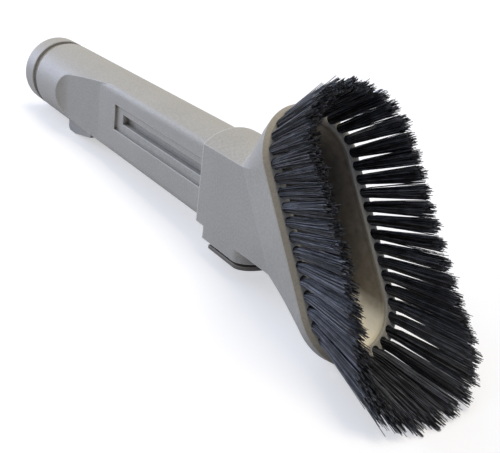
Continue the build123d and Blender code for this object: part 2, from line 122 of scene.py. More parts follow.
# %% Camera
CAMERA_PLACE = Vector((385.5, -160.0, 103.1)) * MM
CAMERA_HEADING = radians(145.13)
CAMERA_LOOKS_DOWN = radians(22.51)
CAMERA_ROLL = radians(5.83)
LENS = 52.62
SHIFT_X = 0.0975
SHIFT_Y = -0.0699

forward = Vector((
    cos(CAMERA_HEADING) * cos(CAMERA_LOOKS_DOWN),
    sin(CAMERA_HEADING) * cos(CAMERA_LOOKS_DOWN),
    -sin(CAMERA_LOOKS_DOWN),
))
level_right = forward.cross(Vector((0, 0, 1))).normalized()
level_up = level_right.cross(forward)
right = level_right * cos(CAMERA_ROLL) + level_up * sin(CAMERA_ROLL)
up = right.cross(forward)
turned = Matrix((right, up, -forward)).transposed().to_4x4()
camera_data = bpy.data.cameras.new("camera")
camera_data.lens = LENS
camera_data.shift_x = SHIFT_X
camera_data.shift_y = SHIFT_Y
camera = bpy.data.objects.new("camera", camera_data)
camera.matrix_world = Matrix.Translation(CAMERA_PLACE) @ turned
scene = bpy.context.scene
scene.collection.objects.link(camera)
scene.camera = camera
front_corner = Vector(cad_box[1])
print("camera to the front top corner:", round((CAMERA_PLACE - front_corner).length, 3), "m")

# %% [markdown]
# The tool doesn't lie level: it rests on the catch under its rear end and on the tips
# of its lowest bristles. The floor is laid through those two contacts, so the model
# stays as it is and the floor is what slopes.

# %% Floor through the two contacts
FLOOR_HALF_SIZE = 6.0
SAME_HEIGHT = 0.02 * MM


def lowest_contact(names):
    """The lowest point of these nodes, and the rearmost one where several are as low."""
    points = [vertex.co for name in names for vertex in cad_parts[name].data.vertices]
    lowest = min(point.z for point in points)
    as_low = [point for point in points if point.z < lowest + SAME_HEIGHT]
    return min(as_low, key=lambda point: point.x)


tuft_names = sorted(
    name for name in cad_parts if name.startswith("tuft_") and name[5:].isdigit()
)
catch_contact = lowest_contact(["nozzle_tube"])
tuft_contact = lowest_contact(tuft_names)
slope = (tuft_contact.z - catch_contact.z) / (tuft_contact.x - catch_contact.x)


def floor_height(x):
    """How high the floor is at a place along the tube."""
    return catch_contact.z + slope * (x - catch_contact.x)


corners = [(-FLOOR_HALF_SIZE, -FLOOR_HALF_SIZE), (FLOOR_HALF_SIZE, -FLOOR_HALF_SIZE),
           (FLOOR_HALF_SIZE, FLOOR_HALF_SIZE), (-FLOOR_HALF_SIZE, FLOOR_HALF_SIZE)]
floor_mesh = bpy.data.meshes.new("floor")
floor_mesh.from_pydata([(x, y, floor_height(x)) for x, y in corners], [], [(0, 1, 2, 3)])
floor = bpy.data.objects.new("floor", floor_mesh)
scene.collection.objects.link(floor)
print("the floor slopes", round(100 * slope, 1), "mm for each 100 mm of tube")

# %% [markdown]
# Soft warm light comes from high above, so the tool's top is bright, its shadow is
# short and the light reaches the low end of the bowl. A sun lamp with a wide disc does
# that evenly, however far the floor reaches. The rest of the studio is dim towards the
# front and the far side, so the bowl and the far bristles are the darkest. A picture of
# a studio could light the tool, but a world colour that changes with direction is
# enough for such dull faces, and it can be read. What the camera and reflections see
# past the floor is white.

# %% Sky
WHITE = "#FFFFFF"
SKY_BRIGHT = "#E0EAFF"
SKY_DIM = "#262E42"
SKY_STRENGTH = 1.15
TO_THE_DIM_SIDE = Vector((0.90, 0.43, 0.0))
FULLY_BRIGHT = -1.0
FULLY_DIM = 0.9

scene.view_settings.view_transform = "Standard"
world = bpy.data.worlds.new("sky")
world.use_nodes = True
scene.world = world
sky_tree = world.node_tree
sky_tree.nodes.clear()
rays = add_node(sky_tree, "ShaderNodeLightPath").outputs
shown = rays["Is Camera Ray"]
for kind in ("Is Glossy Ray", "Is Transmission Ray"):
    shown = add_node(
        sky_tree, "ShaderNodeMath", {"operation": "MAXIMUM"}, Value=shown, Value_001=rays[kind],
    )
direction = add_node(sky_tree, "ShaderNodeTexCoord").outputs["Generated"]
towards_dim = add_node(
    sky_tree, "ShaderNodeVectorMath", {"operation": "DOT_PRODUCT"},
    Vector=direction, Vector_001=TO_THE_DIM_SIDE,
)
dimness = add_node(
    sky_tree, "ShaderNodeMapRange",
    Value=towards_dim.outputs["Value"], From_Min=FULLY_BRIGHT, From_Max=FULLY_DIM,
)
sky_shade = add_node(
    sky_tree, "ShaderNodeMix", {"data_type": "RGBA"},
    Factor_Float=dimness, A_Color=light_of(SKY_BRIGHT), B_Color=light_of(SKY_DIM),
)
sky = add_node(
    sky_tree, "ShaderNodeBackground", Color=sky_shade.outputs["Result"], Strength=SKY_STRENGTH,
)
paper = add_node(sky_tree, "ShaderNodeBackground", Color=light_of(WHITE))
surround = add_node(sky_tree, "ShaderNodeMixShader", Fac=shown, Shader=sky, Shader_001=paper)
add_node(sky_tree, "ShaderNodeOutputWorld", Surface=surround)
print("nodes in the sky:", len(sky_tree.nodes))

# %% [markdown]
# A bluish window stands behind on the near side. It lights the rear of the tube and the
# flank of the skirt, and it fades towards the front. A second sun would light both ends
# alike, so the window is an area lamp, which lights what is nearer more strongly.

# %% Sun and window
SUN_COLOUR = "#FFF1D0"
SUN_STRENGTH = 1.38
SUN_DISC = radians(30)
TO_THE_SUN = Vector((0.12, 0.10, 0.99))
WINDOW_COLOUR = "#CDDBFF"
WINDOW_POWER = 17.0
WINDOW_SIZE = 0.6
WINDOW_PLACE = Vector((-1.60, -0.82, 0.50))
WINDOW_AIM = Vector((0.15, 0.0, 0.0))

sun_data = bpy.data.lights.new("sun", "SUN")
sun_data.energy = SUN_STRENGTH
sun_data.angle = SUN_DISC
sun_data.color = light_of(SUN_COLOUR)[:3]
window_data = bpy.data.lights.new("window", "AREA")
window_data.energy = WINDOW_POWER
window_data.size = WINDOW_SIZE
window_data.color = light_of(WINDOW_COLOUR)[:3]
for lamp_data, place, towards_lamp in (
    (sun_data, Vector(), TO_THE_SUN), (window_data, WINDOW_PLACE, WINDOW_PLACE - WINDOW_AIM),
):
    lamp = bpy.data.objects.new(lamp_data.name, lamp_data)
    lamp.location = place
    lamp.rotation_mode = "QUATERNION"
    lamp.rotation_quaternion = towards_lamp.to_track_quat("Z", "Y")
    scene.collection.objects.link(lamp)
print("the window is", round((WINDOW_PLACE - WINDOW_AIM).length, 2), "m away")

# %% [markdown]
# The floor is plain white card: a diffuse sheet with no gloss, because a glossy one
# would mirror the tool. To the camera alone it glows a little, as card does when it is
# lit from below. A stronger sky would pale the shadow too, but it would flatten the tool.


# %% Matt white card
CARD_GLOW = 0.52
CARD_FIBRE = 2.5 * MM
CARD_GREY, CARD_PALE = "#CACACD", "#CDCDCF"


def new_material(name):
    """An empty material and its node tree."""
    material = bpy.data.materials.new(name)
    material.use_nodes = True
    material.node_tree.nodes.clear()
    return material, material.node_tree


def matt_white_card():
    """The floor: white card with a very faint fibre in it."""
    material, tree = new_material("matt_white_card")
    place = add_node(tree, "ShaderNodeTexCoord").outputs["Object"]
    fibre = add_node(tree, "ShaderNodeTexNoise", Vector=place, Scale=1 / CARD_FIBRE)
    shade = add_node(
        tree, "ShaderNodeMix", {"data_type": "RGBA"},
        Factor_Float=fibre.outputs["Fac"], A_Color=light_of(CARD_GREY), B_Color=light_of(CARD_PALE),
    )
    card = add_node(tree, "ShaderNodeBsdfDiffuse", Color=shade.outputs["Result"])
    glow_strength = add_node(
        tree, "ShaderNodeMath", {"operation": "MULTIPLY"},
        Value=add_node(tree, "ShaderNodeLightPath").outputs["Is Camera Ray"], Value_001=CARD_GLOW,
    )
    glow = add_node(
        tree, "ShaderNodeEmission", Color=light_of(WHITE), Strength=glow_strength,
    )
    surface = add_node(tree, "ShaderNodeAddShader", Shader=card, Shader_001=glow)
    add_node(tree, "ShaderNodeOutputMaterial", Surface=surface)
    return material


floor.data.materials.append(matt_white_card())
print("floor finished")

# %% [markdown]
# The tube and the head are moulded in grey ABS. The steel mould is spark eroded, which
# prints a fine grain on the plastic: it scatters the light, so the surface is satin
# and never mirrors. The real grain is about 0.15 mm wide, finer than a pixel, so it is
# drawn 0.8 mm wide here, by a noise in the colour and in the relief: as real pits it
# would be millions of faces. Where two faces meet, the mould's edge leaves a small round
# that rubs smooth. A Bevel node finds those edges and paints them paler, partly as wear
# and partly as a painted highlight. In narrow corners and recesses an Ambient Occlusion
# node paints the colour dark brown, as painted shade.


# %% Spark-eroded grey ABS
ABS_IOR = 1.54
NOISE_LOW, NOISE_HIGH = 0.3, 0.7


def moulded_abs(name, colours, roughness, grain, grain_depth):
    """Moulded ABS: grain, tone drift, paler edges (wear and highlight), painted shade in corners.
    """
    colour, drift_colour, edge_highlight_and_wear_colour, corner_shade_colour = colours
    DRIFT_SIZE = 22 * MM
    PIT_DARK, PIT_LIGHT = 0.86, 1.08
    RELIEF = 0.5
    EDGE_ROUND = 0.65 * MM
    FLAT_FACE, SHARP_EDGE = 0.985, 0.9
    EDGE_HIGHLIGHT_AND_WEAR = 0.9
    CORNER_REACH = 2.5 * MM
    OPEN_FACE, DEEP_CORNER = 0.8, 0.4
    CORNER_SHADE = 0.85
    material, tree = new_material(name)
    place = add_node(tree, "ShaderNodeTexCoord").outputs["Object"]
    drift = add_node(tree, "ShaderNodeTexNoise", Vector=place, Scale=1 / DRIFT_SIZE, Detail=3.0)
    tone = add_node(
        tree, "ShaderNodeMix", {"data_type": "RGBA"},
        Factor_Float=drift.outputs["Fac"], A_Color=light_of(colour), B_Color=light_of(drift_colour),
    )
    pits = add_node(tree, "ShaderNodeTexNoise", Vector=place, Scale=1 / grain, Detail=2.0)
    pit_shade = add_node(
        tree, "ShaderNodeMapRange", Value=pits.outputs["Fac"],
        From_Min=NOISE_LOW, From_Max=NOISE_HIGH, To_Min=PIT_DARK, To_Max=PIT_LIGHT,
    )
    grained = add_node(
        tree, "ShaderNodeMix", {"data_type": "RGBA", "blend_type": "MULTIPLY"},
        Factor_Float=1.0, A_Color=tone.outputs["Result"], B_Color=pit_shade,
    )
    rounded = add_node(tree, "ShaderNodeBevel", {"samples": 6}, Radius=EDGE_ROUND)
    true_face = add_node(tree, "ShaderNodeNewGeometry")
    alike = add_node(
        tree, "ShaderNodeVectorMath", {"operation": "DOT_PRODUCT"},
        Vector=rounded, Vector_001=true_face.outputs["Normal"],
    )
    # Edges are painted paler: partly rubbed wear, partly a painted highlight.
    at_edge = add_node(
        tree, "ShaderNodeMapRange", Value=alike.outputs["Value"],
        From_Min=FLAT_FACE, From_Max=SHARP_EDGE, To_Min=0.0, To_Max=EDGE_HIGHLIGHT_AND_WEAR,
    )
    edges_lit_and_worn = add_node(
        tree, "ShaderNodeMix", {"data_type": "RGBA"},
        Factor_Float=at_edge, A_Color=grained.outputs["Result"], B_Color=light_of(edge_highlight_and_wear_colour),
    )
    # Painted shade: corners and recesses, where light is blocked, are painted dark brown.
    corner = add_node(
        tree, "ShaderNodeAmbientOcclusion", {"samples": 8, "only_local": True},
        Distance=CORNER_REACH,
    )
    in_corner = add_node(
        tree, "ShaderNodeMapRange", Value=corner.outputs["AO"],
        From_Min=OPEN_FACE, From_Max=DEEP_CORNER, To_Min=0.0, To_Max=CORNER_SHADE,
    )
    corner_shaded = add_node(
        tree, "ShaderNodeMix", {"data_type": "RGBA"},
        Factor_Float=in_corner, A_Color=edges_lit_and_worn.outputs["Result"], B_Color=light_of(corner_shade_colour),
    )
    relief = add_node(
        tree, "ShaderNodeBump",
        Strength=RELIEF, Distance=grain_depth, Height=pits.outputs["Fac"], Normal=rounded,
    )
    surface = add_node(
        tree, "ShaderNodeBsdfPrincipled",
        Base_Color=corner_shaded.outputs["Result"], Roughness=roughness, IOR=ABS_IOR, Normal=relief,
    )
    add_node(tree, "ShaderNodeOutputMaterial", Surface=surface)
    return material


# The colours are the plastic's own, what it drifts to, its paler edges (wear and a
# painted highlight) and the painted shade in its corners.
grained_grey_abs = moulded_abs(
    "spark_eroded_grey_abs", ("#B4B0A7", "#A5A198", "#EAE7DD", "#4E463D"),
    roughness=0.55, grain=0.8 * MM, grain_depth=0.2 * MM,
)
fine_dark_abs = moulded_abs(
    "fine_moulded_dark_abs", ("#7A746A", "#6A645B", "#A09A8F", "#3A342E"),
    roughness=0.42, grain=0.5 * MM, grain_depth=0.06 * MM,
)
print("plastics:", grained_grey_abs.name, fine_dark_abs.name)

# %% [markdown]
# Parts of the head are finished in their own way, so the material has to know where a
# point lies on it. The mouth gives three directions: along it, across it and out of it.
# How far a point lies from the middle of the mouth, and which way its face looks along
# those directions, tells the bowl from the rim and the low end from the high one.

# %% Directions of the mouth
MOUTH_CENTRE = Vector((233.4, 0, 4.3)) * MM
MOUTH_TILT = radians(34.5)
ROW_HALF_STRAIGHT = 24.1 * MM
mouth_along = Vector((-sin(MOUTH_TILT), 0, cos(MOUTH_TILT)))
mouth_across = Vector((0, 1, 0))
mouth_out = Vector((cos(MOUTH_TILT), 0, sin(MOUTH_TILT)))


def mouth_masks(tree):
    """How much a point belongs to the bowl, the rim and the low end, and how deep it lies."""
    read = add_node(tree, "ShaderNodeTexCoord").outputs
    from_centre = add_node(
        tree, "ShaderNodeVectorMath", {"operation": "SUBTRACT"},
        Vector=read["Object"], Vector_001=MOUTH_CENTRE,
    )
    reach = {}
    for name, vector, direction in (
        ("along", from_centre, mouth_along), ("across", from_centre, mouth_across),
        ("out", from_centre, mouth_out), ("facing along", read["Normal"], mouth_along),
        ("facing across", read["Normal"], mouth_across),
    ):
        reach[name] = add_node(
            tree, "ShaderNodeVectorMath", {"operation": "DOT_PRODUCT"},
            Vector=vector, Vector_001=direction,
        ).outputs["Value"]
    on_straight = add_node(
        tree, "ShaderNodeClamp",
        Value=reach["along"], Min=-ROW_HALF_STRAIGHT, Max=ROW_HALF_STRAIGHT,
    )
    past_straight = add_node(
        tree, "ShaderNodeMath", {"operation": "SUBTRACT"},
        Value=reach["along"], Value_001=on_straight,
    )
    from_line = add_node(tree, "ShaderNodeCombineXYZ", X=past_straight, Y=reach["across"])
    away = add_node(tree, "ShaderNodeVectorMath", {"operation": "NORMALIZE"}, Vector=from_line)
    facing = add_node(
        tree, "ShaderNodeCombineXYZ", X=reach["facing along"], Y=reach["facing across"],
    )
    reach["facing outwards"] = add_node(
        tree, "ShaderNodeVectorMath", {"operation": "DOT_PRODUCT"},
        Vector=away, Vector_001=facing,
    ).outputs["Value"]
    share = {}
    # Each line names a share, what it reads, where it starts and where it is full.
    for name, measure, start, end in (
        ("inner wall", "facing outwards", -0.05, -0.35),
        ("behind the rim", "out", -0.5 * MM, -1.5 * MM),
        ("outer wall", "facing outwards", 0.1, 0.5),
        ("close to the rim", "out", -2.7 * MM, -1.7 * MM),
        ("low", "along", -9 * MM, -19 * MM),
        ("facing up", "facing along", 0.1, 0.5),
        ("depth", "out", -2 * MM, -18 * MM),
    ):
        share[name] = add_node(
            tree, "ShaderNodeMapRange", Value=reach[measure], From_Min=start, From_Max=end,
        )
    masks = {"depth": share["depth"]}
    for name, first, second in (
        ("bowl", "inner wall", "behind the rim"), ("rim", "outer wall", "close to the rim"),
        ("low end", "low", "facing up"),
    ):
        masks[name] = add_node(
            tree, "ShaderNodeMath", {"operation": "MULTIPLY"},
            Value=share[first], Value_001=share[second],
        )
    return masks


print("the mouth looks up by", round(degrees(MOUTH_TILT), 1), "degrees from straight ahead")

# %% [markdown]
# The head is the same plastic with two differences. Its bowl was formed by a polished
# steel core, so it is glossy, and the dust that blows through has stained it brown;
# deeper down it is painted darker still, as painted shade. At the low end a pale patch
# is painted in as a pool of light, and the rim's outer band is tinted browner as painted
# shade. So the plain material is copied, and the masks choose between its colour and the others.


# %% The head's bowl and rim: stain, painted shade and painted light
def head_plastic(plain):
    """The plain plastic with a glossy stained bowl, painted shade and light, and a shaded rim."""
    # The bowl is stained at the rim and painted darker deeper down as painted shade.
    STAIN_AT_RIM, SHADE_DEEP_DOWN = "#948B7E", "#26262A"
    PAINTED_LIGHT_LOW_END = "#FFFAEA"
    RIM_SHADE_TINT = "#DCD3C0"
    BOWL_ROUGHNESS = 0.27
    RIM_ROUGHNESS = 0.4
    DUST_SIZE = 3 * MM
    DUST_AMOUNT = 0.5
    material = plain.copy()
    material.name = "stained_grey_abs"
    tree = material.node_tree
    surface = next(node for node in tree.nodes if node.type == "BSDF_PRINCIPLED")
    plain_colour = surface.inputs["Base Color"].links[0].from_socket
    masks = mouth_masks(tree)
    place = add_node(tree, "ShaderNodeTexCoord").outputs["Object"]
    dust = add_node(tree, "ShaderNodeTexNoise", Vector=place, Scale=1 / DUST_SIZE, Detail=4.0)
    # Painted shade: the stain colour darkens with depth into the bowl.
    stain_and_depth_shade = add_node(
        tree, "ShaderNodeMix", {"data_type": "RGBA"}, Factor_Float=masks["depth"],
        A_Color=light_of(STAIN_AT_RIM), B_Color=light_of(SHADE_DEEP_DOWN),
    )
    # Painted light: a pale pool of light on the upward-facing low end of the bowl.
    low_end_painted_light = add_node(
        tree, "ShaderNodeMix", {"data_type": "RGBA"}, Factor_Float=masks["low end"],
        A_Color=stain_and_depth_shade.outputs["Result"], B_Color=light_of(PAINTED_LIGHT_LOW_END),
    )
    speckled = add_node(
        tree, "ShaderNodeMix", {"data_type": "RGBA", "blend_type": "OVERLAY"},
        Factor_Float=DUST_AMOUNT, A_Color=low_end_painted_light.outputs["Result"], B_Color=dust.outputs["Fac"],
    )
    # Painted shade: the rim's outer band is tinted browner.
    rim_shaded = add_node(
        tree, "ShaderNodeMix", {"data_type": "RGBA", "blend_type": "MULTIPLY"},
        Factor_Float=masks["rim"], A_Color=plain_colour, B_Color=light_of(RIM_SHADE_TINT),
    )
    colour = add_node(
        tree, "ShaderNodeMix", {"data_type": "RGBA"}, Factor_Float=masks["bowl"],
        A_Color=rim_shaded.outputs["Result"], B_Color=speckled.outputs["Result"],
    )
    rim_gloss = add_node(
        tree, "ShaderNodeMapRange", Value=masks["rim"],
        To_Min=surface.inputs["Roughness"].default_value, To_Max=RIM_ROUGHNESS,
    )
    gloss = add_node(
        tree, "ShaderNodeMapRange", Value=masks["bowl"], To_Min=rim_gloss, To_Max=BOWL_ROUGHNESS,
    )
    tree.links.new(colour.outputs["Result"], surface.inputs["Base Color"])
    tree.links.new(gloss.outputs["Result"], surface.inputs["Roughness"])
    return material


stained_grey_abs = head_plastic(grained_grey_abs)
print("head finish:", stained_grey_abs.name)

# %% [markdown]
# The pin, the spring and the little plates that hold the tufts are drawn steel wire.
# Drawing leaves scratches that are far too fine to model. They show only as a gloss
# that changes from place to place, so a fine noise drives the roughness.


# %% Drawn steel wire
def drawn_steel():
    """Bright steel wire with fine die lines."""
    LINE_WIDTH = 0.08 * MM
    SMOOTHEST, ROUGHEST = 0.24, 0.4
    WIRE_DARK, WIRE_BRIGHT = "#B9BBBE", "#C9CBCD"
    material, tree = new_material("drawn_steel_wire")
    place = add_node(tree, "ShaderNodeTexCoord").outputs["Object"]
    lines = add_node(tree, "ShaderNodeTexNoise", Vector=place, Scale=1 / LINE_WIDTH, Detail=1.0)
    rough = add_node(
        tree, "ShaderNodeMapRange", Value=lines.outputs["Fac"],
        From_Min=NOISE_LOW, From_Max=NOISE_HIGH, To_Min=SMOOTHEST, To_Max=ROUGHEST,
    )
    shade = add_node(
        tree, "ShaderNodeMix", {"data_type": "RGBA"},
        Factor_Float=lines.outputs["Fac"],
        A_Color=light_of(WIRE_DARK), B_Color=light_of(WIRE_BRIGHT),
    )
    surface = add_node(
        tree, "ShaderNodeBsdfPrincipled",
        Base_Color=shade.outputs["Result"], Metallic=1.0, Roughness=rough,
    )
    add_node(tree, "ShaderNodeOutputMaterial", Surface=surface)
    return material


steel = drawn_steel()
print("wire finish:", steel.name)

# %% [markdown]
# Every moulded and drawn piece already has the right shape, so it keeps its mesh and
# only its material changes.

# %% Finish the pieces of the solid model
finishes = {
    "nozzle_tube": grained_grey_abs,
    "brush_head": stained_grey_abs,
    "release_button": fine_dark_abs,
    "button_pivot_pin": steel,
    "button_spring": steel,
    "tuft_anchors": steel,
}
for name, material in finishes.items():
    node_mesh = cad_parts[name].data
    node_mesh.materials.clear()
    node_mesh.materials.append(material)
print("finished nodes:", len(finishes))

# %% [markdown]
# The spring between the button and the head is shorter when the button is pressed. The
# solid model's coil is rigid, and a copy of it stands in for it and rides with the head.
# The model's meshes are loose triangles, so the copy's are joined first.

# %% The spring's stand-in
SAME_POINT = 0.0005 * MM
coil_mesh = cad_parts["button_spring"].data.copy()
coil_mesh.name = "shortening_spring"
triangles = bmesh.new()
triangles.from_mesh(coil_mesh)
bmesh.ops.remove_doubles(triangles, verts=triangles.verts, dist=SAME_POINT)
triangles.to_mesh(coil_mesh)
triangles.free()
coil = bpy.data.objects.new("shortening_spring", coil_mesh)
scene.collection.objects.link(coil)
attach(coil, "brush")
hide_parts("button_spring")
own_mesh(coil)

# %% [markdown]
# The bristles are black nylon monofilament. Each bundle is folded round a small plate
# and shot into its own hole, so it leaves the rim as a tight round root and fans out
# towards its tip. The row follows the rim: two straights and two half circles. Places
# could be copied from the solid tufts, but a row that is worked out from its length is
# even by itself. Every tuft also gets its slope and how far it opens.

# %% Places of the tufts on the mouth
TUFT_COUNT = 43
ROW_RADIUS = 16.9 * MM
TRIM_HEIGHT = 23.5 * MM
LEAN_ALL = tan(radians(17.5))
FAN_TOP = 8.5 * MM
FAN_LOW = 11.8 * MM
SIDE_SPLAY = 3.6 * MM
SIDE_SPLAY_LOW = 7.0 * MM
NEAR_ROW_PUSHED_IN = 1.8 * MM
NEAR_ROW_OPENS = 0.16
LOW_END_OPENS = 0.3

mouth_frame = Matrix.Translation(MOUTH_CENTRE) @ Matrix(
    (mouth_along, mouth_across, mouth_out)
).transposed().to_4x4()


def row_place(run):
    """A point of the row, as far round it from its lowest point as the given run."""
    quarter = pi * ROW_RADIUS / 2
    straight = 2 * ROW_HALF_STRAIGHT
    if run > 2 * quarter + straight:
        along, across = row_place(2 * (2 * quarter + straight) - run)
        return along, -across
    if run <= quarter:
        angle = run / ROW_RADIUS
        return -ROW_HALF_STRAIGHT - ROW_RADIUS * cos(angle), ROW_RADIUS * sin(angle)
    if run <= quarter + straight:
        return run - quarter - ROW_HALF_STRAIGHT, ROW_RADIUS
    angle = (run - quarter - straight) / ROW_RADIUS
    return ROW_HALF_STRAIGHT + ROW_RADIUS * sin(angle), ROW_RADIUS * cos(angle)


def tuft_slope(along, across):
    """How far a tuft leans along and across the mouth for each metre of height."""
    reach = along / (ROW_HALF_STRAIGHT + ROW_RADIUS)
    fan = FAN_TOP if reach > 0 else FAN_LOW
    splay = SIDE_SPLAY + (SIDE_SPLAY_LOW * reach ** 2 if reach < 0 else 0)
    if across < 0:
        splay -= NEAR_ROW_PUSHED_IN * (1 - abs(reach))
    return fan * reach / TRIM_HEIGHT - LEAN_ALL, splay / TRIM_HEIGHT * across / ROW_RADIUS


def tuft_spread(along, across):
    """How wide a tuft opens: the near row and the low end have been splayed by use."""
    reach = along / (ROW_HALF_STRAIGHT + ROW_RADIUS)
    by_side = NEAR_ROW_OPENS if across < 0 else 0.0
    by_end = LOW_END_OPENS * reach ** 2 if reach < 0 else 0.0
    return 1.0 + by_side + by_end


row_length = 4 * ROW_HALF_STRAIGHT + 2 * pi * ROW_RADIUS
places = [row_place(index * row_length / TUFT_COUNT) for index in range(TUFT_COUNT)]
print("tufts stand", round(row_length / TUFT_COUNT / MM, 2), "mm apart")

# %% [markdown]
# Geometry Nodes do the rest. Hair curves or particles would look alike, but a node tree
# has named sizes and ends as a plain mesh. It starts with one point for each tuft and
# copies it once for each filament. Every copy remembers its place in the round root,
# which way it drifts, how short it was cut and how much it shines. Neighbours drift
# together, because bristles cling in clumps. Every random number has a fixed seed, so
# the brush is the same each time.
#
# The sums are written as small tables: a name, what is done, and with what. Each line
# of a table becomes one Math node, and later lines use the names of earlier ones.

# %% Scatter the filaments
CLUMP_WIDTH = 1.3
CLUMP_WANDER = 2.2
OWN_WANDER = 0.8
STRAND_WIDTH = 3.0
STRAND_FINENESS = 1.7
NOISE_MIDDLE = 0.5
FEW_ARE_SHORT = 2.0
FEW_ARE_BRIGHT = 1.5
SUM_SOCKETS = ("Value", "Value_001", "Value_002")
REMEMBERED = {
    "lean": "FLOAT_VECTOR", "spread": "FLOAT", "disc": "FLOAT_VECTOR",
    "drift": "FLOAT_VECTOR", "short": "FLOAT", "tone": "FLOAT",
}


def scattered_filaments(tree, given):
    """Points for the filaments, each with its place in the root, its drift and its luck."""
    copies = add_node(
        tree, "GeometryNodeDuplicateElements", {"domain": "POINT"},
        Geometry=given["Tufts"], Amount=given["Filaments per tuft"],
    )
    value = {}
    for offset, (name, low, high) in enumerate((
        ("turn", 0.0, 2 * pi), ("reach", 0.0, 1.0), ("own along", -OWN_WANDER, OWN_WANDER),
        ("own across", -OWN_WANDER, OWN_WANDER), ("luck", 0.0, 1.0), ("sheen", 0.0, 1.0),
    ), start=1):
        seed = add_node(
            tree, "ShaderNodeMath", {"operation": "ADD"}, Value=given["Seed"], Value_001=offset,
        )
        value[name] = add_node(
            tree, "FunctionNodeRandomValue", {"data_type": "FLOAT"},
            Min_001=low, Max_001=high, Seed=seed,
        ).outputs[1]
    for name, operation, *terms in (
        ("from middle", "SQRT", "reach"),
        ("cosine", "COSINE", "turn"),
        ("sine", "SINE", "turn"),
        ("disc along", "MULTIPLY", "from middle", "cosine"),
        ("disc across", "MULTIPLY", "from middle", "sine"),
        ("short", "POWER", "luck", FEW_ARE_SHORT),
        ("rare sheen", "POWER", "sheen", FEW_ARE_BRIGHT),
    ):
        sockets = {socket: value.get(term, term) for socket, term in zip(SUM_SOCKETS, terms)}
        value[name] = add_node(tree, "ShaderNodeMath", {"operation": operation}, **sockets)
    disc = add_node(
        tree, "ShaderNodeCombineXYZ", X=value["disc along"], Y=value["disc across"],
    )
    tuft_place = add_node(
        tree, "ShaderNodeVectorMath", {"operation": "SCALE"},
        Vector=add_node(tree, "GeometryNodeInputPosition"), Scale=1 / MM,
    )
    noise_places = []
    for width in (CLUMP_WIDTH, STRAND_WIDTH):
        across_root = add_node(
            tree, "ShaderNodeVectorMath", {"operation": "SCALE"}, Vector=disc, Scale=width,
        )
        noise_places.append(add_node(
            tree, "ShaderNodeVectorMath", {"operation": "ADD"},
            Vector=across_root, Vector_001=tuft_place,
        ))
    clump = add_node(
        tree, "ShaderNodeTexNoise", Vector=noise_places[0], Scale=1.0, Detail=1.0,
    )
    pull = add_node(
        tree, "ShaderNodeVectorMath", {"operation": "ADD"},
        Vector=clump.outputs["Color"], Vector_001=(-NOISE_MIDDLE,) * 3,
    )
    together = add_node(
        tree, "ShaderNodeVectorMath", {"operation": "SCALE"}, Vector=pull, Scale=CLUMP_WANDER,
    )
    alone = add_node(tree, "ShaderNodeCombineXYZ", X=value["own along"], Y=value["own across"])
    wandering = add_node(
        tree, "ShaderNodeVectorMath", {"operation": "ADD"}, Vector=together, Vector_001=alone,
    )
    drift = add_node(
        tree, "ShaderNodeVectorMath", {"operation": "MULTIPLY"},
        Vector=wandering, Vector_001=(1, 1, 0),
    )
    strand = add_node(tree, "ShaderNodeTexNoise", Vector=noise_places[1], Scale=STRAND_FINENESS)
    # The tone is how much painted sheen goes into a filament's colour.
    tone = add_node(
        tree, "ShaderNodeMath", {"operation": "MULTIPLY"},
        Value=strand.outputs["Fac"], Value_001=value["rare sheen"],
    )
    stored = copies
    for name, kept in (
        ("disc", disc), ("drift", drift), ("short", value["short"]), ("tone", tone),
    ):
        stored = add_node(
            tree, "GeometryNodeStoreNamedAttribute",
            {"data_type": REMEMBERED[name], "domain": "POINT"},
            Geometry=stored, Name=name, Value=kept,
        )
    return stored


print("each filament remembers:", ", ".join(REMEMBERED))

# %% [markdown]
# A short upright line goes on every copy and is bent into a filament. It starts in the
# hole, leans with its tuft, opens towards the tip, drifts a little, and ends near the
# trimming plane. Each filament could be drawn as its own curve, but here one rule bends
# them all, from how far up its line a point lies.

# %% Bend the lines
LINE_POINTS = 6
TIP_THINNING = 0.15
OPENS_EARLY = 0.6


